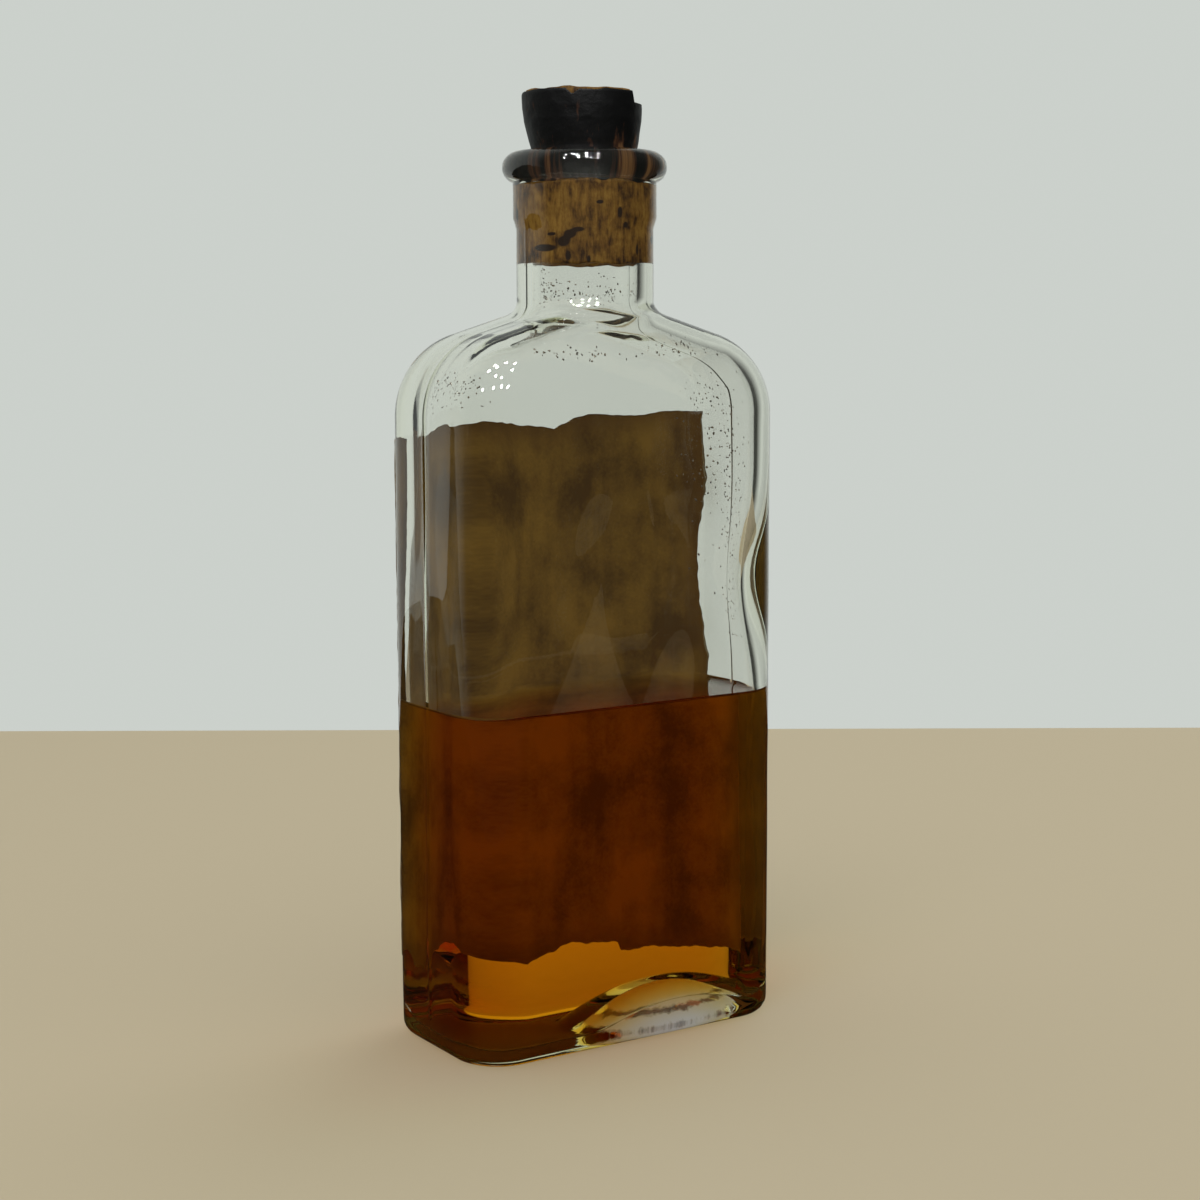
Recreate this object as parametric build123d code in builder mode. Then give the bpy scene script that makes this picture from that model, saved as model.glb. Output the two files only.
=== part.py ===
from build123d import *
import math
import os

os.makedirs("parts", exist_ok=True)

# An old corked flask bottle, standing on z = 0 with its wide clear face towards -Y.
# The body is a slab with rounded shoulders; the neck is round and stands on the Z axis.
glass_height = 135.1
body_width = 57.0
body_depth = 30.0
shoulder_slope = math.radians(16.5)
shoulder_radius = 13.0
crown_radius = 22.0
rim_radius = 8.3
heel_radius = 2.6
wall = 2.3
floor_thickness = 3.2
inner_rim_radius = 6.2
inner_heel_bevel = 2.5

# Neck: a plain tube, a slightly thicker finish band round its top, and a rounded bead as lip
neck_rise = 21.5
neck_radius = 10.6
bore_radius = 8.0
neck_root_radius = 1.8
finish_height = 9.9
band_radius = 11.1
band_step = 1.0
bead_radius = 2.35
bead_reach = 12.7
mouth_bevel = 0.8

# Push-up: the hollow under the base, with the floor raised over it, inside the resting ring
push_up_length = 43.0
push_up_width = 17.0
push_up_depth = 5.5
push_up_taper = 40.0
push_up_roof = 2.8

# Oil that fills a bit under half of the bottle, and its clearance to the glass
oil_level = 51.8
oil_gap = 0.05

# Cork: squeezed into the bore, with a wider worn head above the lip
cork_depth = 17.1
cork_fit = 0.05
cork_toe = 0.7
cork_waist_rise = 0.4
cork_head_radius = 9.0
cork_head_rise = 6.2
cork_rise = 9.0
cork_top_bevel = 0.6
chip_depth = 1.5
chip_drop = 2.0
chip_bearing = -30

# Black coat: a thin skin round the cork's head, drawn down into the mouth
coat_thickness = 0.3
coat_reach = 4.5

# Label: thin torn paper glued on the back face and wrapped round both back corners
paper_thickness = 0.15
glue_gap = 0.05
label_bottom = 6.9
label_overreach = 0.8
label_right_end = 7.5
label_left_turn = math.radians(32)

# The label's edges: x as a share of half the body's width, z as a share of its own height
torn_top_shares = ((-1.1, 0.985), (-0.55, 0.992), (-0.1, 0.981), (0.45, 0.999), (1.1, 0.997))
torn_foot_shares = (
    (1.1, 0.0),
    (0.33, 0.019),
    (0.08, 0.022),
    (0.06, 0.039),
    (-0.24, 0.055),
    (-0.50, 0.037),
    (-0.575, 0.016),
    (-0.73, 0.025),
    (-0.79, 0.046),
    (-0.94, 0.065),
    (-1.1, 0.045),
    (-1.1, 0.115),
    (-0.90, 0.135),
    (-0.86, 0.215),
    (-1.1, 0.260),
)

half_width = body_width / 2
half_depth = body_depth / 2
shoulder_peak = glass_height - neck_rise
bead_middle = glass_height - bead_radius
bead_centre = bead_reach - bead_radius
band_bottom = glass_height - finish_height
cork_bottom = glass_height - cork_depth
cork_top = glass_height + cork_rise
cork_radius = bore_radius - cork_fit
coat_bottom = glass_height - coat_reach
coat_top = cork_top - cork_top_bevel
side_height = (
    shoulder_peak
    - (half_width - shoulder_radius) * math.tan(shoulder_slope)
    - shoulder_radius / math.cos(shoulder_slope)
)
label_top = side_height + label_overreach
label_height = label_top - label_bottom


def flask_form(inset, rim, tube_radius):
    """A flask's solid shape, drawn in by inset all round, with a tube up through its neck."""
    bottom = inset and floor_thickness + inset - wall
    reach = half_width - inset
    peak = shoulder_peak - inset / math.cos(shoulder_slope)
    corner = peak - reach * math.tan(shoulder_slope)
    with BuildPart() as form:
        with BuildSketch(Plane.XZ) as outline:
            with BuildLine():
                Polyline(
                    (-reach, bottom),
                    (reach, bottom),
                    (reach, corner),
                    (0, peak),
                    (-reach, corner),
                    close=True,
                )
            make_face()
            fillet(outline.vertices().group_by(Axis.Y)[1], shoulder_radius - inset)
            if not inset:
                fillet(outline.vertices().sort_by(Axis.Y)[-1], crown_radius)
        extrude(amount=half_depth - inset, both=True)
        base_edges = form.faces().sort_by(Axis.Z)[0].edges()
        fillet(form.faces().filter_by(Axis.Y).edges() - base_edges, rim)
        if inset:
            chamfer(form.faces().sort_by(Axis.Z)[0].edges(), inner_heel_bevel)
        else:
            fillet(form.faces().sort_by(Axis.Z)[0].edges(), heel_radius)
        with BuildSketch(Plane.XY.offset(corner)):
            Circle(tube_radius)
        extrude(amount=glass_height - corner)
        if not inset:
            root_edges = form.edges(Select.NEW).filter_by(GeomType.CIRCLE, reverse=True)
            fillet(root_edges.filter_by(GeomType.LINE, reverse=True), neck_root_radius)
    return form.part


def push_up_form(growth):
    """The hollow under the base, as a solid grown by growth all round."""
    spread = 2 * growth / math.cos(math.radians(push_up_taper))
    with BuildPart() as hollow:
        with BuildSketch(Plane.XY):
            SlotOverall(push_up_length + spread, push_up_width + spread)
        extrude(amount=push_up_depth + growth, taper=push_up_taper)
    return hollow.part


def cork_side(skin):
    """The stopper's side above the coat's lower edge, as points drawn in by skin."""
    return (
        (cork_radius - skin, coat_bottom),
        (cork_radius - skin, glass_height + cork_waist_rise),
        (cork_head_radius - skin, glass_height + cork_head_rise),
        (cork_head_radius - skin, coat_top),
    )


outer_form = flask_form(0, rim_radius, neck_radius)
inner_form = flask_form(wall, inner_rim_radius, bore_radius)
oil_form = flask_form(wall + oil_gap, inner_rim_radius, bore_radius - oil_gap)
hollow_form = push_up_form(0)
raised_floor_form = push_up_form(push_up_roof)
oil_floor_form = push_up_form(push_up_roof + oil_gap)
chip_plane = Plane.XY.offset(cork_top - chip_drop)

with BuildPart() as glass_bottle:
    add(outer_form)
    with BuildSketch(Plane.XZ):
        with BuildLine():
            Polyline(
                (0, band_bottom - band_step),
                (neck_radius, band_bottom - band_step),
                (band_radius, band_bottom),
                (band_radius, bead_middle),
                (bead_centre, glass_height),
                (0, glass_height),
                close=True,
            )
        make_face()
        with Locations((bead_centre, bead_middle)):
            Circle(bead_radius)
    revolve(axis=Axis.Z)
    add(inner_form, mode=Mode.SUBTRACT)
    mouth_edges = glass_bottle.edges().filter_by(GeomType.CIRCLE).group_by(Axis.Z)[-1]
    chamfer(mouth_edges.sort_by(SortBy.RADIUS)[0], mouth_bevel)
    add(raised_floor_form)
    add(hollow_form, mode=Mode.SUBTRACT)
glass_bottle.part.label = "glass_bottle"
export_step(glass_bottle.part, "parts/glass_bottle.step")

with BuildPart() as oil_fill:
    add(oil_form)
    add(oil_floor_form, mode=Mode.SUBTRACT)
    split(bisect_by=Plane.XY.offset(oil_level), keep=Keep.BOTTOM)
oil_fill.part.label = "oil_fill"
export_step(oil_fill.part, "parts/oil_fill.step")

with BuildPart() as cork_stopper:
    with BuildSketch(Plane.XZ):
        with BuildLine():
            side = cork_side(coat_thickness)
            Polyline(
                (0, cork_top),
                (0, cork_bottom),
                (cork_radius - cork_toe, cork_bottom),
                (cork_radius, cork_bottom + cork_toe),
                (cork_radius, coat_bottom),
                *side,
                (cork_head_radius - coat_thickness - cork_top_bevel, cork_top),
                close=True,
            )
        make_face()
    revolve(axis=Axis.Z)
    with BuildSketch(chip_plane):
        with PolarLocations(cork_head_radius, 1, chip_bearing):
            Rectangle(2 * chip_depth, 2 * cork_head_radius)
    extrude(amount=chip_drop, mode=Mode.SUBTRACT)
cork_stopper.part.label = "cork_stopper"
export_step(cork_stopper.part, "parts/cork_stopper.step")

with BuildPart() as wax_coat:
    with BuildSketch(Plane.XZ):
        with BuildLine():
            Polyline(*cork_side(coat_thickness), *reversed(cork_side(0)), close=True)
        make_face()
    revolve(axis=Axis.Z)
    with BuildSketch(chip_plane):
        with PolarLocations(cork_head_radius, 1, chip_bearing):
            Rectangle(2 * chip_depth, 2 * cork_head_radius)
    extrude(amount=chip_drop, mode=Mode.SUBTRACT)
wax_coat.part.label = "wax_coat"
export_step(wax_coat.part, "parts/wax_coat.step")

with BuildPart() as back_label:
    corner_x = half_width - rim_radius
    corner_y = half_depth - rim_radius
    paper_outside = glue_gap + paper_thickness
    with BuildSketch(Plane.XY):
        RectangleRounded(
            body_width + 2 * paper_outside, body_depth + 2 * paper_outside, rim_radius + paper_outside
        )
        RectangleRounded(
            body_width + 2 * glue_gap,
            body_depth + 2 * glue_gap,
            rim_radius + glue_gap,
            mode=Mode.SUBTRACT,
        )
        with BuildLine():
            Polyline(
                (-corner_x, corner_y),
                (
                    -corner_x - body_width * math.cos(label_left_turn),
                    corner_y + body_width * math.sin(label_left_turn),
                ),
                (body_width, body_width),
                (body_width, label_right_end),
                (corner_x, label_right_end),
                (corner_x, corner_y),
                close=True,
            )
        make_face(mode=Mode.INTERSECT)
    extrude(amount=shoulder_peak)
    top_points = [
        (half_width * x_share, label_bottom + label_height * z_share)
        for x_share, z_share in torn_top_shares
    ]
    foot_points = [
        (half_width * x_share, label_bottom + label_height * z_share)
        for x_share, z_share in torn_foot_shares
    ]
    with BuildSketch(Plane.XZ):
        with BuildLine():
            Spline(*top_points)
            Polyline(top_points[-1], *foot_points, top_points[0])
        make_face()
    extrude(amount=-body_depth, mode=Mode.INTERSECT)
back_label.part.label = "back_label"
export_step(back_label.part, "parts/back_label.step")
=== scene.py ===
import math

import bpy
import numpy as np
from mathutils import Matrix, Vector


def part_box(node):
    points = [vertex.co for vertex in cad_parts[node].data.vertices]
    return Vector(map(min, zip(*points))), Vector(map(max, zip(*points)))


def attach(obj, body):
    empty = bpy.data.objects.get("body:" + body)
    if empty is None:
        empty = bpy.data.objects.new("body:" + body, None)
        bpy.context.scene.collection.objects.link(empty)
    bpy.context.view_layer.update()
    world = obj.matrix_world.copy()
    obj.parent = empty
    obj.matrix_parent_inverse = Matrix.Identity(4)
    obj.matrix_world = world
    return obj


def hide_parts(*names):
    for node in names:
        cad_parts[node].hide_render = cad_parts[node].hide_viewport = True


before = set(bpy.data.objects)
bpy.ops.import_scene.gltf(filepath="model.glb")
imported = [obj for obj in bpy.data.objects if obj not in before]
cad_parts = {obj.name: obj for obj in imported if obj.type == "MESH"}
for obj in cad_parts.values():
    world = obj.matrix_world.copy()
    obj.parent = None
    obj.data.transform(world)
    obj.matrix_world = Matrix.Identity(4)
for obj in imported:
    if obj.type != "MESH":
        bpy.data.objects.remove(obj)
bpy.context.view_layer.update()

# The bottle: clear old glass with a faint grey-green tint, blown into a mould in one piece. Its
# outside is nearly true to the mould, with a seam down both ends; its inside wanders, because the
# glass settled as it cooled. The base is pushed up into a low frosted dome, right of the middle.
mm = 0.001
bottle_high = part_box("glass_bottle")[1]
half_width = bottle_high.x
half_depth = bottle_high.y
glass_height = bottle_high.z
neck_rise = 21.5 * mm
shoulder_peak = glass_height - neck_rise
shoulder_slope = math.radians(16.5)
shoulder_radius = 13.0 * mm
crown_radius = 22.0 * mm
rim_radius = 8.3 * mm
corner_x = half_width - rim_radius
corner_y = half_depth - rim_radius
inner_rim_radius = 6.2 * mm
heel_radius = 2.6 * mm
inner_heel_radius = 4.2 * mm
wall = 2.3 * mm
floor_thickness = 1.8 * mm
neck_radius = 10.6 * mm
bore_radius = 8.0 * mm
neck_root = 1.8 * mm
bore_root = 3.5 * mm
neck_foot = 118.0 * mm
finish_height = 9.9 * mm
band_bottom = glass_height - finish_height
band_radius = 11.1 * mm
band_step = 1.0 * mm
bead_radius = 2.35 * mm
bead_centre = 10.35 * mm
bead_middle = glass_height - bead_radius
mouth_round = 1.1 * mm
push_up_middle = np.array((9.0, -2.0)) * mm
push_up_reach = np.array((15.5, 9.5)) * mm
push_up_depth = 6.0 * mm
push_up_roof = 1.3 * mm
floor_spread = 3.5 * mm
floor_fade = 16.0 * mm
oil_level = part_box("oil_fill")[1].z
meniscus_rise = 0.7 * mm
meniscus_reach = 0.9 * mm
oil_line = oil_level + meniscus_rise

# How closely the skin's points lie: round the plan, and by height as each stretch's end and step
end_shares = (0, 0.025, 0.05, 0.1, 0.2, 0.4, 0.6, 0.8)
corner_steps = 23
side_steps = 15
under_steps = 34
floor_steps = 26
innermost_share = 0.02
bead_steps = 26
band_steps = 8
mouth_steps = 8
bore_step = 1.2 * mm
wet_step = 1.4 * mm
halvings = 32
outer_stretches = (
    (84 * mm, 1.4 * mm), (99 * mm, 0.6 * mm), (107 * mm, 0.35 * mm), (114 * mm, 0.15 * mm),
    (band_bottom - band_step, 0.8 * mm),
)
inner_stretches = (
    (84 * mm, 1.4 * mm), (97 * mm, 0.6 * mm), (105 * mm, 0.35 * mm), (113 * mm, 0.18 * mm),
    (neck_foot, 0.8 * mm),
)

# How the glass wanders: the depth of each kind, and its waves as a seed, the longest and the shortest
wave_count = 9
usual_peak = 4
seam_height = 0.13 * mm
seam_width = 0.3 * mm
outer_ripple = 0.045 * mm
outer_waves = (11, 34 * mm, 11 * mm)
inner_ripple = 0.22 * mm
inner_waves = (23, 42 * mm, 13 * mm)
corner_ripple = 0.75 * mm
corner_waves = (31, 60 * mm, 24 * mm)
corner_shift = 0.7
corner_gain = 2.6
corner_powers = (6, 1.5)
shoulder_fade = 12 * mm
floor_ripple = 0.2 * mm
floor_waves = (47, 24 * mm, 9 * mm)

# Slumps of the inside corners: the side in x and in y, then height, spread and depth in millimetres
corner_slumps = (
    (-1, -1, 72.0, 19.0, 2.4), (1, 1, 84.0, 6.0, 2.6), (1, -1, 70.0, 9.0, 3.2), (1, 1, 60.0, 6.0, 2.2),
)

# The glass's looks, and the light that its walls and its base let on to the other pieces
glass_index = 1.52
glass_colour = (0.985, 0.99, 0.98, 1)
glass_tint = (0.70, 0.74, 0.30, 1)
glass_density = 27.0
wall_pass_colour = (0.95, 0.96, 0.94, 1)
# A painted shadow: lamp and bounced light that passes the base is set to a dark brown, for the shade under
# the bottle
painted_base_shadow_colour = (0.20, 0.10, 0.03, 1)
# The frost is tinted blue so that it shows white under the amber light that reaches it through the oil:
# painted white light
painted_white_frost_colour = (0.50, 0.55, 0.80, 1)
frost_raggedness = 0.34
frost_bands = ((0.33, 0.0), (0.41, 0.95), (0.58, 0.95), (0.64, 0.2), (0.70, 0.2), (0.77, 0.95))


def plan_directions():
    """Unit vectors from the axis, closest together at the corners and at the two seams."""
    end = [(half_width, share * corner_y) for share in end_shares]
    turns = np.radians(np.linspace(0, 90, corner_steps))
    corner = [(corner_x + rim_radius * math.cos(t), corner_y + rim_radius * math.sin(t)) for t in turns]
    side = [(share * corner_x, half_depth) for share in np.linspace(1, 0, side_steps)[1:]]
    quarter = np.array([math.atan2(y, x) for x, y in end + corner + side])
    back = quarter[::-1]
    angles = np.concatenate((quarter[:-1], np.pi - back[:-1], np.pi + quarter[:-1], 2 * np.pi - back[:-1]))
    return np.stack((np.cos(angles), np.sin(angles)), axis=1)


directions = plan_directions()


def flask_gap(x, y, z, inset, rim, tube, root):
    """How far points lie outside the flask's form drawn in by inset, with its neck tube."""
    rise, run = math.cos(shoulder_slope), math.sin(shoulder_slope)
    reach = half_width - inset
    peak = shoulder_peak - inset / rise
    radius = shoulder_radius - inset
    centre_x = reach - radius
    centre_z = peak - (radius + centre_x * run) / rise
    across = np.abs(x)
    front = np.maximum(across - reach, across * run + (z - peak) * rise)
    from_x, from_z = across - centre_x, z - centre_z
    in_shoulder = (from_z > 0) & (from_x * rise > from_z * run)
    front = np.where(in_shoulder, np.hypot(from_x, from_z) - radius, front)
    crown_z = z - (peak - crown_radius / rise)
    front = np.where(crown_z * run > across * rise, np.hypot(across, crown_z) - crown_radius, front)
    over = front + rim
    aside = np.abs(y) - (half_depth - inset) + rim
    body = np.hypot(np.maximum(over, 0), np.maximum(aside, 0)) + np.minimum(np.maximum(over, aside), 0) - rim
    neck = np.hypot(x, y) - tube
    near = np.hypot(np.maximum(root - body, 0), np.maximum(root - neck, 0))
    return np.maximum(root, np.minimum(body, neck)) - near


def form_rings(levels, inset, rim, tube, root):
    """One ring of points at each level, where the rays from the axis leave the form."""
    shape = (len(levels), len(directions))
    near, far = np.zeros(shape), np.full(shape, 2 * half_width)
    z = np.repeat(np.asarray(levels)[:, None], shape[1], axis=1)
    for _ in range(halvings):
        middle = (near + far) / 2
        x, y = middle * directions[:, 0], middle * directions[:, 1]
        inside = flask_gap(x, y, z, inset, rim, tube, root) < 0
        near, far = np.where(inside, middle, near), np.where(inside, far, middle)
    return np.stack((near * directions[:, 0], near * directions[:, 1], z), axis=2)


def levels_along(start, stretches):
    """Levels from start up through stretches, each given by its end and its step."""
    levels = []
    for end, step in stretches:
        levels.append(np.arange(start, end, step))
        start = end
    return np.concatenate(levels)


def ring_normals(ring):
    """Flat outward normals of a closed ring of points."""
    along = np.roll(ring, -1, axis=0) - np.roll(ring, 1, axis=0)
    normals = np.stack((along[:, 1], -along[:, 0], np.zeros(len(ring))), axis=1)
    return normals / np.linalg.norm(normals, axis=1, keepdims=True)


def heel_rings(first, radius, last_turn, count):
    """Rings round a heel's curve, from its lowest up to just under the wall's first ring."""
    normals = ring_normals(first)
    return np.array([
        first - normals * radius * (1 - math.sin(t)) - (0, 0, radius * math.cos(t))
        for t in np.radians(np.linspace(0, last_turn, count))
    ])


def drawn_in(ring, shares):
    """Copies of a ring drawn in level towards the axis, one for each share."""
    return np.array([ring * (share, share, 1) for share in shares])


def turned_rings(profile):
    """Rings of a turned stretch, from (radius, height) pairs."""
    return np.array([np.column_stack((r * directions, np.full(len(directions), z))) for r, z in profile])


def waves(points, seed, longest, shortest):
    """A smooth seeded wander between about -1 and 1, made of sine waves in space."""
    draw = np.random.default_rng(seed)
    total = np.zeros(points.shape[:-1])
    for _ in range(wave_count):
        way = draw.normal(size=3)
        way *= 2 * math.pi / draw.uniform(shortest, longest) / np.linalg.norm(way)
        total += np.sin(points @ way + draw.uniform(0, 2 * math.pi))
    return total / usual_peak


def pushed_out(rings, amounts):
    """The rings with each point moved level and away from the axis by its amount."""
    level = rings * (1, 1, 0)
    away = level / np.maximum(np.linalg.norm(level, axis=2, keepdims=True), mm / 100)
    return rings + away * amounts[:, :, None]


def push_up(points, spread, depth):
    """Height over points of the plan of the base's dome, pressed in a little off the middle."""
    aside = (points[..., :2] - push_up_middle) / (push_up_reach + spread)
    return depth * np.maximum(1 - (aside ** 2).sum(axis=-1), 0)


def outside_shift(points):
    """How far the outside lies off the true form: a faint ripple, lower than the seams that reach it."""
    seam = np.exp(-(points[..., 1] / seam_width) ** 2) * (points[..., 2] < band_bottom)
    standing = np.clip(points[..., 2] / heel_radius, 0, 1)
    return (outer_ripple * (waves(points, *outer_waves) - 1) + seam_height * (seam - 1)) * standing


def outer_rings():
    """The outside from the middle of the base up to the crest of the lip."""
    levels = levels_along(heel_radius, outer_stretches)
    side = form_rings(levels, 0, rim_radius, neck_radius, neck_root)
    heel = heel_rings(side[0], heel_radius, last_turn=75, count=6)
    under = drawn_in(heel[0], np.linspace(innermost_share, 0.985, under_steps))
    under[:, :, 2] = push_up(under, 0, push_up_depth)
    bead_start = math.acos((band_radius - bead_centre) / bead_radius)
    bead = [
        (bead_centre + bead_radius * math.cos(t), bead_middle + bead_radius * math.sin(t))
        for t in np.linspace(-bead_start, math.pi / 2, bead_steps)
    ]
    band = [(band_radius, z) for z in np.linspace(band_bottom, bead[0][1], band_steps)[:-1]]
    rings = np.concatenate((under, heel, side, turned_rings(band + bead)))
    return pushed_out(rings, outside_shift(rings))


def cavity_wall(levels, grown):
    """Rings of the inside wall at the levels, with its wander, grown by a small length."""
    rings = form_rings(levels, wall, inner_rim_radius, bore_radius, bore_root)
    x, y, z = np.moveaxis(rings, 2, 0)
    x_power, y_power = corner_powers
    corner = corner_gain * np.abs(x / half_width) ** x_power * np.abs(y / half_depth) ** y_power
    body = np.clip((shoulder_peak - z) / shoulder_fade, 0, 1)
    wander = inner_ripple * waves(rings, *inner_waves)
    wander += corner_ripple * corner * (waves(rings, *corner_waves) - corner_shift)
    for x_side, y_side, height, spread, depth in corner_slumps:
        here = corner * (x * x_side > 0) * (y * y_side > 0)
        wander -= depth * mm * here * np.exp(-((z / mm - height) / spread) ** 2)
    return pushed_out(rings, wander * body + grown)


def cavity(levels, grown=0):
    """Rings of the inside from the middle of its floor up to the last level."""
    walls = cavity_wall(levels, grown)
    heel = heel_rings(walls[0] - (0, 0, grown), inner_heel_radius - grown, last_turn=80, count=7)
    flat = drawn_in(heel[0], np.linspace(innermost_share, 0.97, floor_steps))
    flat[:, :, 2] += floor_ripple * waves(flat, *floor_waves) * np.linspace(1, 0, floor_steps)[:, None]
    rings = np.concatenate((flat, heel, walls))
    low = np.clip(1 - (rings[:, :, 2] - floor_thickness) / floor_fade, 0, 1) ** 2
    rings[:, :, 2] += low * push_up(rings, floor_spread, push_up_depth + push_up_roof - floor_thickness)
    return rings


wall_start = floor_thickness + inner_heel_radius
wet_levels = np.append(np.arange(wall_start, oil_line - 0.5 * mm, wet_step), oil_line)
dry_levels = levels_along(oil_line + 0.8 * mm, inner_stretches)


def inner_rings():
    """The inside from the crest of the lip down to the middle of the floor."""
    bore = [(bore_radius, z) for z in np.arange(neck_foot, glass_height - mouth_round, bore_step)]
    mouth = [
        (bore_radius + mouth_round * (1 - math.cos(t)), glass_height - mouth_round * (1 - math.sin(t)))
        for t in np.radians(np.linspace(0, 90, mouth_steps))
    ]
    rings = np.concatenate((cavity(np.concatenate((wet_levels, dry_levels))), turned_rings(bore + mouth)))
    return rings[::-1]


def ring_faces(rings, joined=False):
    """Vertices and faces of a skin over rings, joined end to end or closed by a point at each end."""
    count, around = rings.shape[:2]
    step = np.arange(around)
    after = np.roll(step, -1)
    faces = []
    for row in range(count if joined else count - 1):
        here, above = row * around, (row + 1) % count * around
        faces += list(zip(here + step, here + after, above + after, above + step))
    points = rings.reshape(-1, 3)
    if not joined:
        points = np.concatenate((points, rings[0].mean(axis=0)[None], rings[-1].mean(axis=0)[None]))
        last = (count - 1) * around
        faces += [(count * around, b, a) for a, b in zip(step, after)]
        faces += [(last + a, last + b, count * around + 1) for a, b in zip(step, after)]
    return points, faces


def new_piece(name, points, faces, body, slot):
    """A smooth-shaded mesh piece that rides on a body."""
    mesh = bpy.data.meshes.new(name)
    mesh.from_pydata([tuple(map(float, p)) for p in points], [], [tuple(map(int, f)) for f in faces])
    mesh.validate()
    mesh.shade_smooth()
    piece = bpy.data.objects.new(name, mesh)
    bpy.context.scene.collection.objects.link(piece)
    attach(piece, body)
    return piece


def add_values(piece, name, domain, values):
    """A named number on every face or point of a piece, for its material to read."""
    data = piece.data.attributes.new(name, "FLOAT", domain).data
    data.foreach_set("value", np.asarray(values, float))


def node_adder(tree):
    """A function that adds a node to the tree and sets or joins its inputs, by place or by name."""

    def node(kind, *inputs, **named):
        """In a name, _ stands for a space. A name that no input has is a setting of the node."""
        made = tree.nodes.new(kind)
        sockets = dict(enumerate(inputs))
        for key, value in named.items():
            name = key.replace("_", " ")
            if name in made.inputs:
                sockets[name] = value
            else:
                setattr(made, key, value)
        for key, value in sockets.items():
            source = value.outputs[0] if isinstance(value, bpy.types.Node) else value
            if isinstance(source, bpy.types.NodeSocket):
                tree.links.new(source, made.inputs[key])
            else:
                made.inputs[key].default_value = source
        return made

    return node


def new_material(name):
    """An empty node material, and the function that adds nodes to it."""
    material = bpy.data.materials.new(name)
    material.use_nodes = True
    material.node_tree.nodes.clear()
    return material, node_adder(material.node_tree)


def tone_ramp(node, value, stops):
    """A colour ramp over a value, from (position, colour) pairs in rising order."""
    ramp = node("ShaderNodeValToRGB", value)
    elements = ramp.color_ramp.elements
    for element, (position, colour) in zip(elements, (stops[0], stops[-1])):
        element.position = position
        element.color = colour
    for position, colour in stops[1:-1]:
        elements.new(position).color = colour
    return ramp


def lamps_pass(node, surface, passing):
    """The surface as seen, while lamp light and bounced light go straight on as passing lets them."""
    path = node("ShaderNodeLightPath")
    shadow, bounced = path.outputs["Is Shadow Ray"], path.outputs["Is Diffuse Ray"]
    either = node("ShaderNodeMath", shadow, bounced, operation="MAXIMUM")
    return node("ShaderNodeMixShader", either, surface, passing)


def frost_share(node, under):
    """How frosted the underside is: two ragged bands by height, 0 off the underside."""
    place = node("ShaderNodeNewGeometry").outputs["Position"]
    patches = node("ShaderNodeTexNoise", place, Scale=420.0, Detail=6.0, Roughness=0.7)
    height = node("ShaderNodeSeparateXYZ", place).outputs["Z"]
    rise = node("ShaderNodeMapRange", height, From_Max=push_up_depth)
    ragged = node("ShaderNodeMath", patches, frost_raggedness, rise, operation="MULTIPLY_ADD")
    bands = tone_ramp(node, ragged, [(at, (share, share, share, 1)) for at, share in frost_bands])
    return node("ShaderNodeMath", bands, under, operation="MULTIPLY")


def old_glass():
    """Clear glass, faintly grey-green, frosted underneath in a blue that is painted white light; its wet
    inside face isn't seen.
    """
    material, node = new_material("old_clear_glass")
    under = node("ShaderNodeAttribute", attribute_name="under").outputs["Fac"]
    wet = node("ShaderNodeAttribute", attribute_name="wet").outputs["Fac"]
    glass = node(
        "ShaderNodeBsdfPrincipled", glass_colour, Roughness=0.0, IOR=glass_index, Transmission_Weight=1.0
    )
    frost = node("ShaderNodeBsdfDiffuse", painted_white_frost_colour)
    scuffed = node("ShaderNodeMixShader", frost_share(node, under), glass, frost)
    unseen = node("ShaderNodeBsdfTransparent")
    wetted = node("ShaderNodeMixShader", wet, scuffed, unseen)
    wall_pass = node("ShaderNodeBsdfTransparent", wall_pass_colour)
    # Light through the base is a set dark brown: a painted shadow under the bottle
    painted_shadow_pass = node("ShaderNodeBsdfTransparent", painted_base_shadow_colour)
    passing = node("ShaderNodeMixShader", under, wall_pass, painted_shadow_pass)
    body = node("ShaderNodeVolumeAbsorption", glass_tint, glass_density)
    node("ShaderNodeOutputMaterial", Surface=lamps_pass(node, wetted, passing), Volume=body)
    return material


outside = outer_rings()
glass_rings = np.concatenate((outside, inner_rings()))
bottle = new_piece("flask", *ring_faces(glass_rings), "bottle", "glass")
bottle.data.materials.append(old_glass())
face_rows = np.arange(len(bottle.data.polygons)) // len(directions)
face_heights = np.array([face.center.z for face in bottle.data.polygons])
base_fan = face_rows == len(glass_rings) - 1
inside = (face_rows >= len(outside)) & ~base_fan
add_values(bottle, "under", "FACE", (face_rows < under_steps) | base_fan)
add_values(bottle, "wet", "FACE", inside & (face_heights < oil_line))
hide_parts("glass_bottle")

# The oil: clear amber-brown, filling a bit under half of the bottle. Its surface is level and
# creeps up the glass at its edge, where it shows as a thin dark line.
oil_sink = 0.1 * mm
oil_index = 1.47
oil_on_glass_index = 0.967
oil_tint = (0.983, 0.79, 0.0, 1)
oil_strength = 200.0
surface_steps = 40
surface_crowding = 1.6
surface_margin = 0.3 * mm
surface_tilt = 0.25


def oil_rings():
    """The oil's skin: along the floor and the wall, a little inside the glass, then its top."""
    rings = cavity(wet_levels, oil_sink)
    top = drawn_in(rings[-1], 1 - np.linspace(0.01, 0.98, surface_steps) ** surface_crowding)
    x, y, z = np.moveaxis(top, 2, 0)
    gap = flask_gap(x, y, z, wall, inner_rim_radius, bore_radius, bore_root)
    top[:, :, 2] = oil_level + meniscus_rise * np.exp(np.minimum(gap, 0) / meniscus_reach)
    return np.concatenate((rings, top))


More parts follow.
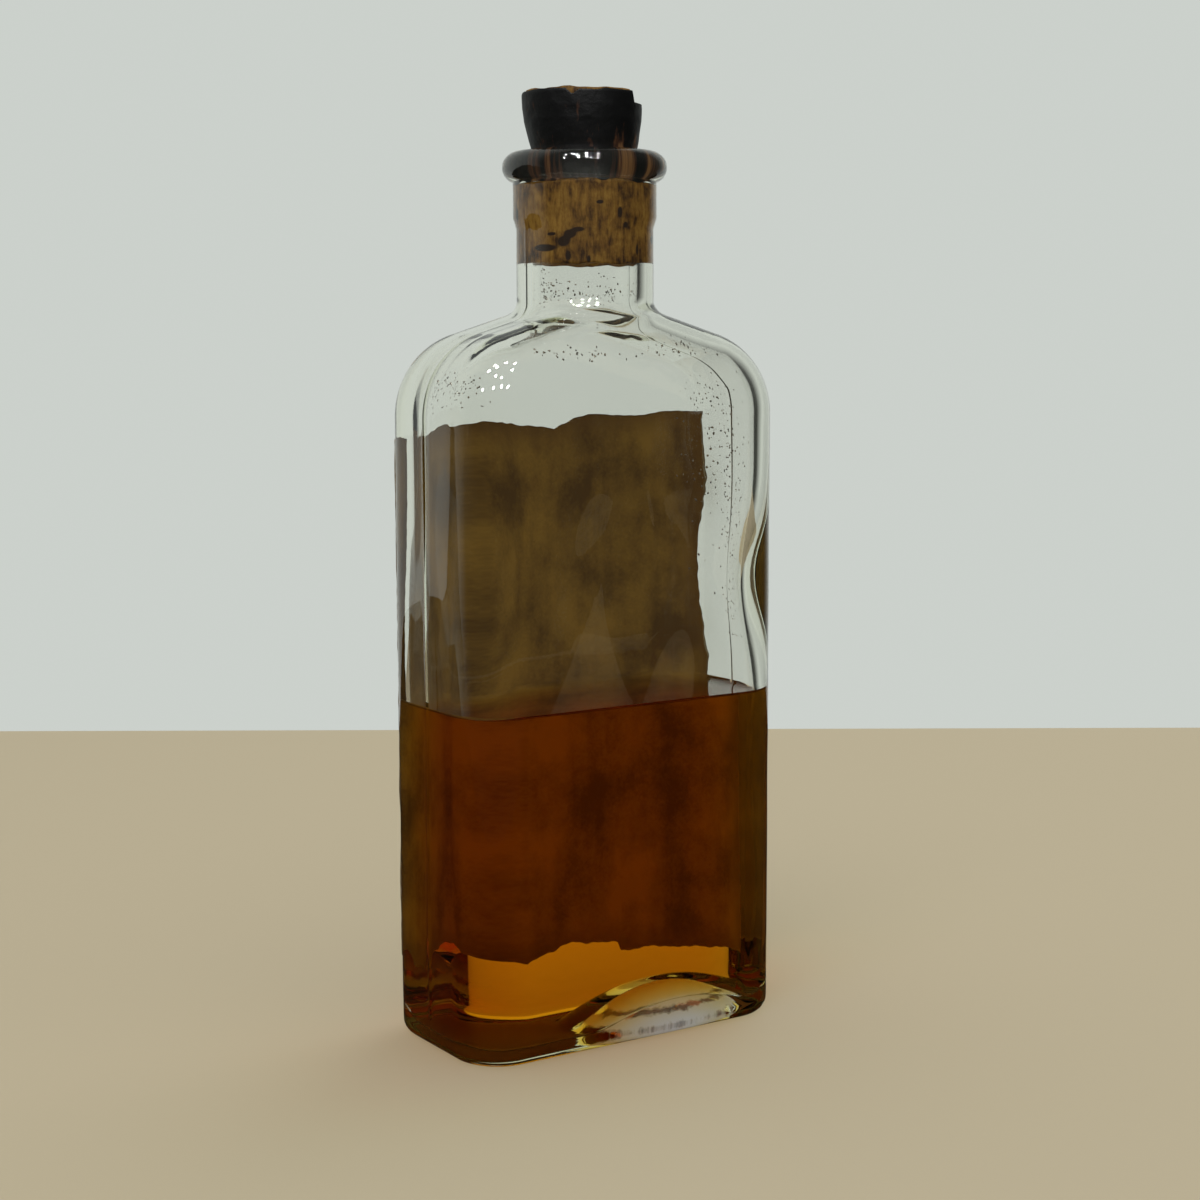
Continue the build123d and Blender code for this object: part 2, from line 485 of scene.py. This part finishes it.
def amber_oil():
    """Amber oil: one shader for its top, met from air, and one for its sides, met from glass."""
    material, node = new_material("amber_oil")
    top, side = [
        node("ShaderNodeBsdfPrincipled", (1, 1, 1, 1), Roughness=0.0, IOR=index, Transmission_Weight=1.0)
        for index in (oil_index, oil_on_glass_index)
    ]
    geometry = node("ShaderNodeNewGeometry")
    height = node("ShaderNodeSeparateXYZ", geometry.outputs["Position"]).outputs["Z"]
    facing = node("ShaderNodeSeparateXYZ", geometry.outputs["True Normal"]).outputs["Z"]
    high = node("ShaderNodeMath", height, oil_level - surface_margin, operation="GREATER_THAN")
    lying = node("ShaderNodeMath", facing, operation="ABSOLUTE")
    flat = node("ShaderNodeMath", lying, surface_tilt, operation="GREATER_THAN")
    at_top = node("ShaderNodeMath", high, flat, operation="MULTIPLY")
    skin = node("ShaderNodeMixShader", at_top, side, top)
    clear = node("ShaderNodeBsdfTransparent")
    body = node("ShaderNodeVolumeAbsorption", oil_tint, oil_strength)
    node("ShaderNodeOutputMaterial", Surface=lamps_pass(node, skin, clear), Volume=body)
    return material


oil = new_piece("oil", *ring_faces(oil_rings()), "bottle", "oil")
oil.data.materials.append(amber_oil())
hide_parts("oil_fill")

# The label: one sheet of thin paper, pasted on the back face and round both back corners, torn
# along its edges and soaked by the oil until light comes through it. Any print is left bare.
paper_thickness = 0.15 * mm
paper_sink = 0.03 * mm
label_top = 96.4 * mm
label_left_bow = 8.4 * mm
label_right_end = 7.5 * mm
label_rows = 190
label_columns = 230
tear_depth = 0.22 * mm
tear_waves = (61, 3 * mm, 0.9 * mm)
side_tear_waves = (67, 4 * mm, 1.2 * mm)
top_tear_share = 0.4
wrinkle = 0.05 * mm
wrinkle_waves = (71, 12 * mm, 2 * mm)

# The torn edges in millimetres. The top's drop and the foot's height go by the distance along the
# glass from the middle of the back, and the shifts of the left and the right edge go by height
top_edge = (
    (-36.0, -4.2), (-24.5, -4.2), (-17.0, -4.0), (-11.8, -3.2), (-2.0, -3.2), (1.5, -3.6),
    (5.5, -1.9), (10.0, -1.2), (18.0, -1.7), (24.0, -1.1), (36.0, -1.1),
)
foot_edge = (
    (-36.0, 11.5), (-20.8, 12.7), (-16.5, 11.0), (-14.9, 9.1), (-10.4, 8.3), (-8.3, 10.2),
    (-0.9, 11.8), (7.7, 10.4), (8.3, 8.9), (15.4, 8.6), (24.0, 7.4), (36.0, 6.9),
)
left_edge = ((6.0, 0.0), (17.0, 0.2), (20.0, 0.9), (26.0, 1.1), (30.0, 0.3), (60.0, 0.9), (97.0, 0.0))
right_edge = ((6.0, 1.6), (40.0, 0.6), (53.0, 0.9), (63.0, -0.9), (73.0, -1.5), (82.0, 0.4), (97.0, 0.5))

# Dark, light and rim tones of the soaked side and of the outer side, and how its stains are mixed
soaked_tones = ((0.074, 0.039, 0.014, 1), (0.200, 0.110, 0.026, 1), (0.088, 0.044, 0.016, 1))
outer_tones = ((0.12, 0.075, 0.030, 1), (0.30, 0.20, 0.085, 1), (0.10, 0.058, 0.022, 1))
skin_share = 0.18
stain_share = 0.72
brush_share = 0.16
fibre_share = 0.12
rim_width = 5.0
rim_soak = 0.75


def from_table(value, table):
    """A length read between the (place, length) pairs of a table in millimetres."""
    return np.interp(value / mm, *zip(*table)) * mm


def pasted(along, z, lift):
    """Points on the outside at a distance along it from the middle of the back, raised by lift."""
    side = np.sign(along)
    over = np.maximum(np.abs(along) - corner_x, 0)
    turn = np.minimum(over / rim_radius, math.pi / 2)
    down = np.maximum(over - rim_radius * math.pi / 2, 0)
    flat = np.minimum(np.abs(along), corner_x)
    x = side * (flat + rim_radius * np.sin(turn))
    y = corner_y + rim_radius * np.cos(turn) - down
    true = np.stack((x, y, z), axis=-1)
    level = true * (1, 1, 0)
    away = level / np.linalg.norm(level, axis=-1, keepdims=True)
    facing = np.stack((side * np.sin(turn), np.cos(turn), np.zeros_like(z)), axis=-1)
    return true + away * outside_shift(true)[..., None] + facing * lift[..., None]


def label_grids():
    """The paper's two faces as grids of points, from foot to top, and their distances to its rim."""
    up = np.linspace(0, 1, label_rows)[:, None]
    across = np.linspace(0, 1, label_columns)[None, :]
    height = label_top * up
    left = -corner_x - label_left_bow + from_table(height, left_edge)
    right_turn = math.asin((label_right_end - half_depth + rim_radius) / rim_radius)
    right = corner_x + rim_radius * (math.pi / 2 - right_turn) + from_table(height, right_edge)
    along = left + across * (right - left)
    spot = np.stack(np.broadcast_arrays(along, up * 0, height), axis=-1)
    fray = tear_depth * waves(spot, *tear_waves)
    foot = from_table(along, foot_edge) + fray
    top = label_top + from_table(along, top_edge) + fray * top_tear_share
    z = foot + up * (top - foot)
    along = along + tear_depth * waves(spot[:, :1], *side_tear_waves) * (2 * across - 1)
    creased = wrinkle * (1 + waves(spot, *wrinkle_waves))
    near = pasted(along, z, np.full_like(z, -paper_sink))
    far = pasted(along, z, paper_thickness - paper_sink + creased)
    rim = np.minimum(np.minimum(up, 1 - up) * label_top, np.minimum(across, 1 - across) * (right - left))
    return near, far, rim + 0 * z


def sheet_faces(near, far):
    """Vertices and faces of a closed thin sheet between two grids of points."""
    rows, columns = near.shape[:2]
    total = rows * columns
    index = np.arange(total).reshape(rows, columns)
    quads = np.stack((index[:-1, :-1], index[:-1, 1:], index[1:, 1:], index[1:, :-1]), axis=-1)
    quads = quads.reshape(-1, 4)
    rim = np.concatenate((index[0, :-1], index[:-1, -1], index[-1, :0:-1], index[:0:-1, 0]))
    after = np.roll(rim, -1)
    edge = np.stack((after, rim, rim + total, after + total), axis=-1)
    points = np.concatenate((near.reshape(-1, 3), far.reshape(-1, 3)))
    return points, np.concatenate((quads, quads[:, ::-1] + total, edge))


def drawn_up(node, place, squash):
    """Object coordinates squashed in height, so that a pattern on them runs upright."""
    return node("ShaderNodeMapping", place, Scale=(1, 1, squash))


def paper_stains(node, dark, light, wet):
    """A mottled brown: soft stains, upright brush marks of paste and fine fibres, darker at the rim."""
    place = node("ShaderNodeTexCoord").outputs["Object"]
    stains = node("ShaderNodeTexNoise", place, Scale=75.0, Detail=5.0, Roughness=0.55)
    brush = node("ShaderNodeTexNoise", drawn_up(node, place, 0.12), Scale=330.0, Detail=3.0)
    fibres = node("ShaderNodeTexNoise", place, Scale=2600.0, Detail=2.0)
    mottle = node("ShaderNodeMath", stains, stain_share, operation="MULTIPLY")
    mottle = node("ShaderNodeMath", brush, brush_share, mottle, operation="MULTIPLY_ADD")
    mottle = node("ShaderNodeMath", fibres, fibre_share, mottle, operation="MULTIPLY_ADD")
    tones = tone_ramp(node, mottle, ((0.40, dark), (0.60, light)))
    rim = node("ShaderNodeAttribute", attribute_name="rim").outputs["Fac"]
    fade = node("ShaderNodeMapRange", rim, From_Max=rim_width, To_Min=rim_soak, To_Max=0.0)
    return node("ShaderNodeMixRGB", fade, tones, wet)


def soaked_paper():
    """The pasted side, seen through the bottle: mostly the light that comes through the paper."""
    material, node = new_material("soaked_paper")
    stains = paper_stains(node, *soaked_tones)
    through = node("ShaderNodeBsdfTranslucent", stains)
    skin = node("ShaderNodeBsdfDiffuse", stains)
    node("ShaderNodeOutputMaterial", Surface=node("ShaderNodeMixShader", skin_share, through, skin))
    return material


def paper_face():
    """The outer side of the paper, bare and stained, which lets light in to the pasted side."""
    material, node = new_material("stained_paper")
    skin = node("ShaderNodeBsdfPrincipled", paper_stains(node, *outer_tones), Roughness=0.62)
    clear = node("ShaderNodeBsdfTransparent")
    node("ShaderNodeOutputMaterial", Surface=lamps_pass(node, skin, clear))
    return material


label_near, label_far, label_rim = label_grids()
label = new_piece("torn_label", *sheet_faces(label_near, label_far), "bottle", "paper")
label.data.materials.append(soaked_paper())
label.data.materials.append(paper_face())
near_faces = (label_rows - 1) * (label_columns - 1)
for face in label.data.polygons:
    face.material_index = int(face.index >= near_faces)
add_values(label, "rim", "POINT", np.tile(label_rim.ravel() / mm, 2))
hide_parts("back_label")

# The cork: natural bark cork, cut round and squeezed into the bore, with a head that spread and
# wore above the lip. It is pitted with pores, dark with their own filling and with painted shade, and a chip
# is out of its top edge.
cork_low, cork_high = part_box("cork_stopper")
cork_foot = cork_low.z
cork_top = cork_high.z
cork_toe = 0.5 * mm
coat_low, coat_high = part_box("wax_coat")
coat_foot = coat_low.z
coat_thickness = 0.3 * mm
coat_taper = 1.2 * mm
head_lean = 0.055
head_bumps = 0.07 * mm
head_waves = (83, 9 * mm, 2.6 * mm)
foot_bumps = 0.35 * mm
foot_waves = (89, 7 * mm, 2 * mm)
top_bumps = 0.22 * mm
top_waves = (97, 6 * mm, 1.2 * mm)
chip_bearing = math.radians(-30)
chip_depth = 1.5 * mm
chip_drop = 2.0 * mm
chip_floor = cork_top - chip_drop
fine_step = 0.2 * mm
coarse_step = 0.5 * mm
foot_steps = 24
bearings = np.linspace(-math.pi, math.pi, 180, endpoint=False)
around_axis = np.stack((np.cos(bearings), np.sin(bearings)), axis=1)

# The stopper's radius by its height above the lip, in millimetres
head_shape = (
    (0.0, 8.03), (0.5, 8.03), (1.5, 8.3), (2.8, 8.54), (4.5, 8.85), (6.4, 9.0), (8.3, 9.0), (9.0, 8.75),
)

# Pores: bearing in degrees, height in millimetres, reach in degrees and half height in millimetres
pores = (
    (-165, 120.6, 14, 0.5), (-157, 122.6, 5, 0.25), (-144, 121.5, 7, 0.75), (-137, 122.6, 6, 0.6),
    (-129, 123.3, 6, 0.4), (-139, 119.4, 3, 0.8), (-119, 118.9, 1.5, 0.7), (-87, 125.8, 2.8, 0.75),
    (-80, 124.1, 3, 0.5), (-64, 120.3, 2, 0.9), (-108, 127.2, 3.5, 0.3), (-30, 122.0, 6, 0.7),
    (-12, 125.5, 3, 0.9), (14, 120.8, 8, 0.5), (33, 123.9, 4, 0.6), (58, 121.3, 7, 0.8),
    (79, 126.0, 4, 0.5), (101, 119.9, 5, 0.6), (124, 123.4, 9, 0.45), (150, 125.9, 4, 0.8),
)
cork_tones = (
    (0.38, (0.024, 0.009, 0.002, 1)), (0.49, (0.135, 0.060, 0.009, 1)), (0.60, (0.245, 0.125, 0.022, 1)),
)
# The pores' near black is their own dark filling with painted shade of their hollows, darker where deeper
pore_filling_and_shade_colour = (0.018, 0.008, 0.004, 1)
pore_raggedness = 0.8
pore_rim = 0.62
pore_middle = 0.92
relief_depth = 0.3 * mm


def pore_depth(bearing, z):
    """How deep the cork's pores are at a bearing and height, from 0 to 1."""
    depth = np.zeros(np.broadcast(bearing, z).shape)
    for middle, height, reach, half_height in pores:
        aside = (np.degrees(bearing) - middle + 180) % 360 - 180
        depth += np.exp(-((aside / reach) ** 2 + ((z / mm - height) / half_height) ** 2) ** 1.5)
    return np.clip(depth, 0, 1)


def chip_limit(bearing):
    """The head's radius where the chip's flat back cuts it, and far out elsewhere."""
    facing = np.cos(bearing - chip_bearing)
    back = coat_high.x - chip_depth
    return np.where(facing > 0.5, back / np.maximum(facing, 0.5), 1)


def head_rings(radius_loss, rows):
    """Rings of the stopper's side from rows of heights, drawn in by a loss, with its lean and bumps."""
    rings = []
    for z in rows:
        z = z + 0 * bearings
        radius = from_table(z - glass_height, head_shape)
        above = np.clip((z - glass_height) / (cork_top - glass_height), 0, 1)
        spot = np.stack((radius * around_axis[:, 0], radius * around_axis[:, 1], z), axis=1)
        radius = radius + above ** 0.5 * (z > glass_height) * head_bumps * waves(spot, *head_waves)
        radius = np.where(z > chip_floor, np.minimum(radius, chip_limit(bearings)), radius)
        radius = radius - radius_loss
        lean = head_lean * np.maximum(z - glass_height, 0)
        x = radius * around_axis[:, 0] - lean * math.cos(chip_bearing)
        y = radius * around_axis[:, 1] - lean * math.sin(chip_bearing)
        rings.append(np.stack((x, y, z), axis=1))
    return np.array(rings)


def cork_rings():
    """The cork from the middle of its foot, up its side, to the middle of its worn top."""
    side_levels = np.concatenate((
        np.arange(cork_foot + cork_toe, coat_foot + coat_taper, fine_step),
        np.arange(coat_foot + 1.5 * mm, chip_floor, coarse_step),
        np.linspace(chip_floor, chip_floor + 0.05 * mm, 2),
        np.arange(chip_floor + fine_step, cork_top - 0.3 * mm, fine_step),
    ))
    loss = coat_thickness * np.clip((side_levels - coat_foot) / coat_taper, 0, 1)
    side = np.concatenate([head_rings(lost, [z]) for lost, z in zip(loss, side_levels)])
    foot_edge = side[0] * (0.985, 0.985, 1) - (0, 0, 0.4 * mm)
    shares = np.linspace(0.04, 1, foot_steps)
    foot = drawn_in(foot_edge, shares)
    foot[:, :, 2] += foot_bumps * (waves(foot, *foot_waves) + 1) * (1 - 0.6 * shares[:, None])
    rim = side[-1]
    middle = rim.mean(axis=0)
    top = np.array([middle + (rim - middle) * (share, share, 1) for share in shares[::-1] * 0.97])
    top[:, :, 2] = cork_top - 0.1 * mm + top_bumps * np.minimum(waves(top, *top_waves), 0.4)
    return np.concatenate((foot, side, top))


def bark_cork():
    """Golden-brown cork with fine upright grain, oil stains, and pores dark with their filling and with
    painted shade in their hollows.
    """
    material, node = new_material("bark_cork")
    place = node("ShaderNodeTexCoord").outputs["Object"]
    upright = drawn_up(node, place, 0.22)
    grain = node("ShaderNodeTexNoise", upright, Scale=1500.0, Detail=5.0, Roughness=0.7)
    stains = node("ShaderNodeTexNoise", place, Scale=330.0, Detail=4.0, Roughness=0.6)
    both = node("ShaderNodeMath", grain, stains, operation="ADD")
    half = node("ShaderNodeMath", both, 0.5, operation="MULTIPLY")
    tones = tone_ramp(node, half, cork_tones)
    pore = node("ShaderNodeAttribute", attribute_name="pore").outputs["Fac"]
    ragged = node("ShaderNodeMath", stains, pore_raggedness, pore, operation="MULTIPLY_ADD")
    cut = node("ShaderNodeMapRange", ragged, From_Min=pore_rim, From_Max=pore_middle)
    colour = node("ShaderNodeMixRGB", cut, tones, pore_filling_and_shade_colour)
    relief = node("ShaderNodeBump", Strength=0.35, Distance=relief_depth, Height=half)
    skin = node("ShaderNodeBsdfPrincipled", colour, Roughness=0.75, Specular_IOR_Level=0.1, Normal=relief)
    node("ShaderNodeOutputMaterial", Surface=skin)
    return material


cork_points, cork_faces = ring_faces(cork_rings())
cork = new_piece("bark_cork", cork_points, cork_faces, "stopper", "cork")
cork.data.materials.append(bark_cork())
cork_x, cork_y, cork_z = cork_points.T
on_side = cork_z < coat_foot + mm
add_values(cork, "pore", "POINT", pore_depth(np.arctan2(cork_y, cork_x), cork_z) * on_side)
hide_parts("cork_stopper")

# The coat: a thin black skin of wax or pitch round the cork's head, brushed on and pressed down
# inside the lip, where it runs out in streaks. Its top edge is worn through to the cork.
coat_steps = 74
coat_streak = 1.3 * mm
streak_waves = (101, 6 * mm, 1.1 * mm)
edge_wear = 0.07 * mm
edge_waves = (103, 4 * mm, 1.2 * mm)
streaks_start = glass_height + 1.5 * mm
streaks_full = glass_height - 3.0 * mm
streak_gain = 0.13
coat_tones = (
    (0.60, (0.0035, 0.0035, 0.0038, 1)), (0.68, (0.045, 0.016, 0.007, 1)), (0.76, (0.16, 0.075, 0.028, 1)),
)

# How far the coat is worn down from the top of the head: bearing in degrees, depth in millimetres
worn_edge = (
    (-200, 0.3), (-150, 0.3), (-138, 0.35), (-131, 1.2), (-124, 0.45), (-112, 0.6), (-100, 0.3),
    (-60, 0.35), (-50, 0.5), (10, 0.6), (40, 0.4), (95, 0.7), (130, 0.4), (160, 0.3),
)


def coat_rings():
    """The coat's outside from its ragged foot to its worn edge, and back down its inside."""
    spot = np.column_stack((around_axis * bore_radius, 0 * bearings))
    streaks = np.clip(waves(spot, *streak_waves), -1, 1)
    foot = coat_foot - 0.1 * mm + coat_streak * 0.5 * (1 + streaks)
    worn = np.interp(np.degrees(bearings), *zip(*worn_edge)) * mm
    edge = cork_top - worn - edge_wear * (1 + waves(spot, *edge_waves))
    in_chip = chip_limit(bearings) < from_table(chip_floor - glass_height, head_shape)
    edge = np.where(in_chip, np.minimum(edge, chip_floor - 0.1 * mm), edge)
    shares = np.linspace(0, 1, coat_steps)
    outer = np.concatenate([head_rings(0, [foot + share * (edge - foot)]) for share in shares])
    thin = np.clip(np.minimum(shares, 1 - shares) * 14, 0.12, 1)
    away = np.column_stack((around_axis, 0 * bearings))
    inner = outer - away * (coat_thickness * thin)[:, None, None]
    return np.concatenate((outer, inner[::-1]))


def black_coat():
    """Dull black, slightly lumpy, worn brown in streaks where it was pressed into the mouth."""
    material, node = new_material("black_wax")
    place = node("ShaderNodeTexCoord").outputs["Object"]
    upright = drawn_up(node, place, 0.25)
    streaks = node("ShaderNodeTexNoise", upright, Scale=420.0, Detail=4.0, Roughness=0.65)
    height = node("ShaderNodeSeparateXYZ", place).outputs["Z"]
    depth = node(
        "ShaderNodeMapRange", height, From_Min=streaks_start, From_Max=streaks_full, To_Max=streak_gain
    )
    tones = tone_ramp(node, node("ShaderNodeMath", streaks, depth, operation="ADD"), coat_tones)
    lumps = node("ShaderNodeTexNoise", place, Scale=700.0, Detail=5.0)
    relief = node("ShaderNodeBump", Strength=0.4, Distance=relief_depth, Height=lumps)
    skin = node("ShaderNodeBsdfPrincipled", tones, Roughness=0.5, Specular_IOR_Level=0.12, Normal=relief)
    node("ShaderNodeOutputMaterial", Surface=skin)
    return material


coat = new_piece("head_coat", *ring_faces(coat_rings(), joined=True), "stopper", "black_coat")
coat.data.materials.append(black_coat())
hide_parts("wax_coat")

# Crumbs: dry specks of cork and old oil, stuck to the inside of the neck, the shoulders and the
# right end wall. Each is a flat flake a fraction of a millimetre across.
crumb_seed = 7
crumb_sides = 6
crumb_gap = 0.02 * mm
crumb_swell = 0.05 * mm
crumb_sink = 0.01 * mm
crumb_tones = ((0.35, (0.035, 0.025, 0.018, 1)), (0.70, (0.20, 0.15, 0.10, 1)))

# Clusters in millimetres: x, y and z of the middle, reach, rise, number of flakes, and their size.
# The flakes spread along the wide faces, or along the end wall where x is past its limit
end_wall_limit = 20
crumb_clusters = (
    (-0.5, -8.0, 113.6, 9.0, 1.0, 75, 0.20), (-7.5, -2.0, 114.6, 3.0, 1.8, 60, 0.18),
    (5.0, 6.0, 113.8, 8.0, 1.2, 60, 0.20), (-10.0, -12.7, 104.6, 6.5, 0.5, 38, 0.26),
    (9.5, -12.7, 105.3, 5.5, 0.7, 48, 0.24), (-16.0, 12.7, 98.0, 2.6, 1.6, 42, 0.30),
    (26.0, 1.0, 88.0, 4.0, 8.0, 190, 0.26), (26.0, -3.5, 70.0, 2.0, 9.0, 120, 0.22),
    (26.0, 4.0, 97.0, 3.0, 3.0, 40, 0.22),
)


def crumbs():
    """All the flakes as one set of closed six-sided lozenges."""
    draw = np.random.default_rng(crumb_seed)
    levels = levels_along(60, ((100, 0.5), (118, 0.25))) * mm
    walls = cavity_wall(levels, 0)
    points, faces = [], []
    for x, y, z, reach, rise, count, size in crumb_clusters:
        at_end = abs(x) > end_wall_limit
        for _ in range(count):
            row = int(np.argmin(np.abs(levels - (z + rise * draw.normal()) * mm)))
            spot = np.array((x + reach * draw.normal() * (not at_end), y + reach * draw.normal() * at_end))
            column = int(np.argmax(directions @ spot / np.linalg.norm(spot)))
            here = walls[row, column]
            beside = walls[row, (column + 1) % len(directions)] - here
            upward = walls[min(row + 1, len(levels) - 1), column] - here
            centre = here + beside * draw.uniform() + upward * draw.uniform()
            facing = np.cross(upward, beside)
            facing /= np.linalg.norm(facing)
            beside = beside / np.linalg.norm(beside)
            upward = np.cross(beside, facing)
            centre = centre + facing * crumb_gap
            wide, high = size * mm * draw.uniform(0.25, 1.2, 2)
            start = len(points)
            for turn in np.arange(crumb_sides) * 2 * math.pi / crumb_sides + draw.uniform(0, 1):
                corner = wide * math.cos(turn) * beside + high * math.sin(turn) * upward
                points.append(centre + draw.uniform(0.5, 1.1) * corner)
            points += [centre + facing * crumb_swell, centre - facing * crumb_sink]
            top, bottom = start + crumb_sides, start + crumb_sides + 1
            for a in range(crumb_sides):
                b = (a + 1) % crumb_sides
                faces += [(start + a, start + b, top), (start + b, start + a, bottom)]
    return points, faces


def dried_crumb():
    """Dull grey-brown specks."""
    material, node = new_material("dried_crumb")
    place = node("ShaderNodeTexCoord").outputs["Object"]
    patches = node("ShaderNodeTexNoise", place, Scale=900.0, Detail=1.0)
    skin = node("ShaderNodeBsdfPrincipled", tone_ramp(node, patches, crumb_tones), Roughness=0.8)
    node("ShaderNodeOutputMaterial", Surface=skin)
    return material


specks = new_piece("cork_crumbs", *crumbs(), "bottle", "cork")
specks.data.materials.append(dried_crumb())

# The stage: a plain pale floor that ends a little before and behind the bottle, and a pale wall
# beyond it. What the glass mirrors is a dim room with a few small bright ceiling spots, and where
# its outside mirrors the floor, the floor is dark.
floor_colour = (0.53, 0.445, 0.32, 1)
dark_floor_colour = (0.02, 0.02, 0.015, 1)
floor_reach = 3
floor_before = 0.16
floor_behind = 0.25
camera_turn = math.radians(33.14)
camera_dip = math.radians(7.1)
camera_roll = math.radians(-0.17)
camera_place = Vector((-179.0, -278.1, 108.1)) * mm
lens_length = 64.5
sensor_width = 36
nearest_seen = 0.01

ahead = Vector((math.sin(camera_turn), math.cos(camera_turn), 0))
beside = Vector((math.cos(camera_turn), -math.sin(camera_turn), 0))
corners = [
    beside * side + ahead * along
    for side, along in (
        (-floor_reach, -floor_before), (floor_reach, -floor_before),
        (floor_reach, floor_behind), (-floor_reach, floor_behind),
    )
]
floor_mesh = bpy.data.meshes.new("floor")
floor_mesh.from_pydata([tuple(c) for c in corners], [], [(0, 1, 2, 3)])
floor = bpy.data.objects.new("floor", floor_mesh)
bpy.context.scene.collection.objects.link(floor)


def mirrored_share(node):
    """1 for a ray that the glass has mirrored on its way, else 0."""
    mirrored = node("ShaderNodeLightPath").outputs["Glossy Depth"]
    return node("ShaderNodeMath", mirrored, 1, operation="MINIMUM")


def outside_share(node):
    """1 for a ray that the outside of the glass has mirrored, else 0."""
    crossed = node("ShaderNodeLightPath").outputs["Transmission Depth"]
    not_entered = node("ShaderNodeMath", crossed, 0.5, operation="LESS_THAN")
    return node("ShaderNodeMath", mirrored_share(node), not_entered, operation="MULTIPLY")


def pale_floor():
    """Plain and pale, but dark where the outside of the glass mirrors it."""
    material, node = new_material("pale_floor")
    colour = node("ShaderNodeMixRGB", outside_share(node), floor_colour, dark_floor_colour)
    node("ShaderNodeOutputMaterial", Surface=node("ShaderNodeBsdfDiffuse", colour))
    return material


floor_mesh.materials.append(pale_floor())

# The room: pale where it is seen straight; in mirrored light it is dim, lighter overhead, and pale
# on the far side only
wall_colour = (0.60, 0.635, 0.60, 1)
room_tones = (
    (0.0, (0.02, 0.02, 0.018, 1)), (0.12, (0.035, 0.036, 0.034, 1)),
    (0.55, (0.08, 0.082, 0.078, 1)), (1.0, (0.14, 0.14, 0.13, 1)),
)
far_side_start = 0.05
far_side_full = 0.45

world = bpy.data.worlds.new("pale_room")
bpy.context.scene.world = world
world.use_nodes = True
room_node = node_adder(world.node_tree)
way = room_node("ShaderNodeSeparateXYZ", room_node("ShaderNodeTexCoord").outputs["Generated"])
room = tone_ramp(room_node, way.outputs["Z"], room_tones)
far_side = room_node("ShaderNodeMapRange", way.outputs["Y"], From_Min=far_side_start, From_Max=far_side_full)
mirrored_room = room_node("ShaderNodeMixRGB", far_side, room, wall_colour)
seen_room = room_node("ShaderNodeMixRGB", mirrored_share(room_node), wall_colour, mirrored_room)
world.node_tree.links.new(seen_room.outputs[0], world.node_tree.nodes["Background"].inputs["Color"])


def soft_lamp(name, place, size, watts, colour):
    """A square lamp that looks at the bottle and isn't mirrored in it."""
    data = bpy.data.lights.new(name, "AREA")
    data.size = size
    data.energy = watts
    data.color = colour
    lamp = bpy.data.objects.new(name, data)
    lamp.location = place
    aim = Vector((0, 0, glass_height / 2)) - Vector(place)
    lamp.rotation_euler = aim.to_track_quat("-Z", "Y").to_euler()
    lamp.visible_glossy = False
    lamp.visible_transmission = False
    bpy.context.scene.collection.objects.link(lamp)


soft_lamp("key_lamp", place=(-0.45, -0.35, 0.95), size=0.5, watts=2.9, colour=(1.0, 0.98, 0.94))
soft_lamp("fill_lamp", place=(0.6, 0.25, 0.9), size=0.6, watts=2.4, colour=(0.96, 0.98, 1.0))

# The ceiling spots: a loose grid of small round lamps that light nothing matt and show in the glass
spot_radius = 0.038
spot_watts = 10.0
spot_distance = 1.2
spot_stray = 0.07
spot_seed = 19
spot_elevations = (34, 50, 66)
spot_bearings = (8, 27, 46, 65)
spot_draw = np.random.default_rng(spot_seed)
for row in np.radians(spot_elevations):
    for column in np.radians(spot_bearings):
        elevation, bearing = (row, column) + spot_stray * spot_draw.normal(size=2)
        spot_data = bpy.data.lights.new("ceiling_spot", "POINT")
        spot_data.energy = spot_watts
        spot_data.shadow_soft_size = spot_radius
        spot = bpy.data.objects.new("ceiling_spot", spot_data)
        level = Vector((-math.sin(bearing), -math.cos(bearing), 0))
        spot.location = spot_distance * (level * math.cos(elevation) + Vector((0, 0, math.sin(elevation))))
        spot.visible_diffuse = False
        spot.visible_transmission = False
        bpy.context.scene.collection.objects.link(spot)

camera_data = bpy.data.cameras.new("camera")
camera_data.lens = lens_length
camera_data.sensor_width = sensor_width
camera_data.clip_start = nearest_seen
camera = bpy.data.objects.new("camera", camera_data)
bpy.context.scene.collection.objects.link(camera)
forward = ahead * math.cos(camera_dip) - Vector((0, 0, math.sin(camera_dip)))
above = beside.cross(forward)
right = beside * math.cos(camera_roll) + above * math.sin(camera_roll)
upward = above * math.cos(camera_roll) - beside * math.sin(camera_roll)
turned = Matrix((right, upward, -forward)).transposed().to_4x4()
camera.matrix_world = Matrix.Translation(camera_place) @ turned
bpy.context.scene.camera = camera
bpy.context.scene.view_settings.view_transform = "Standard"
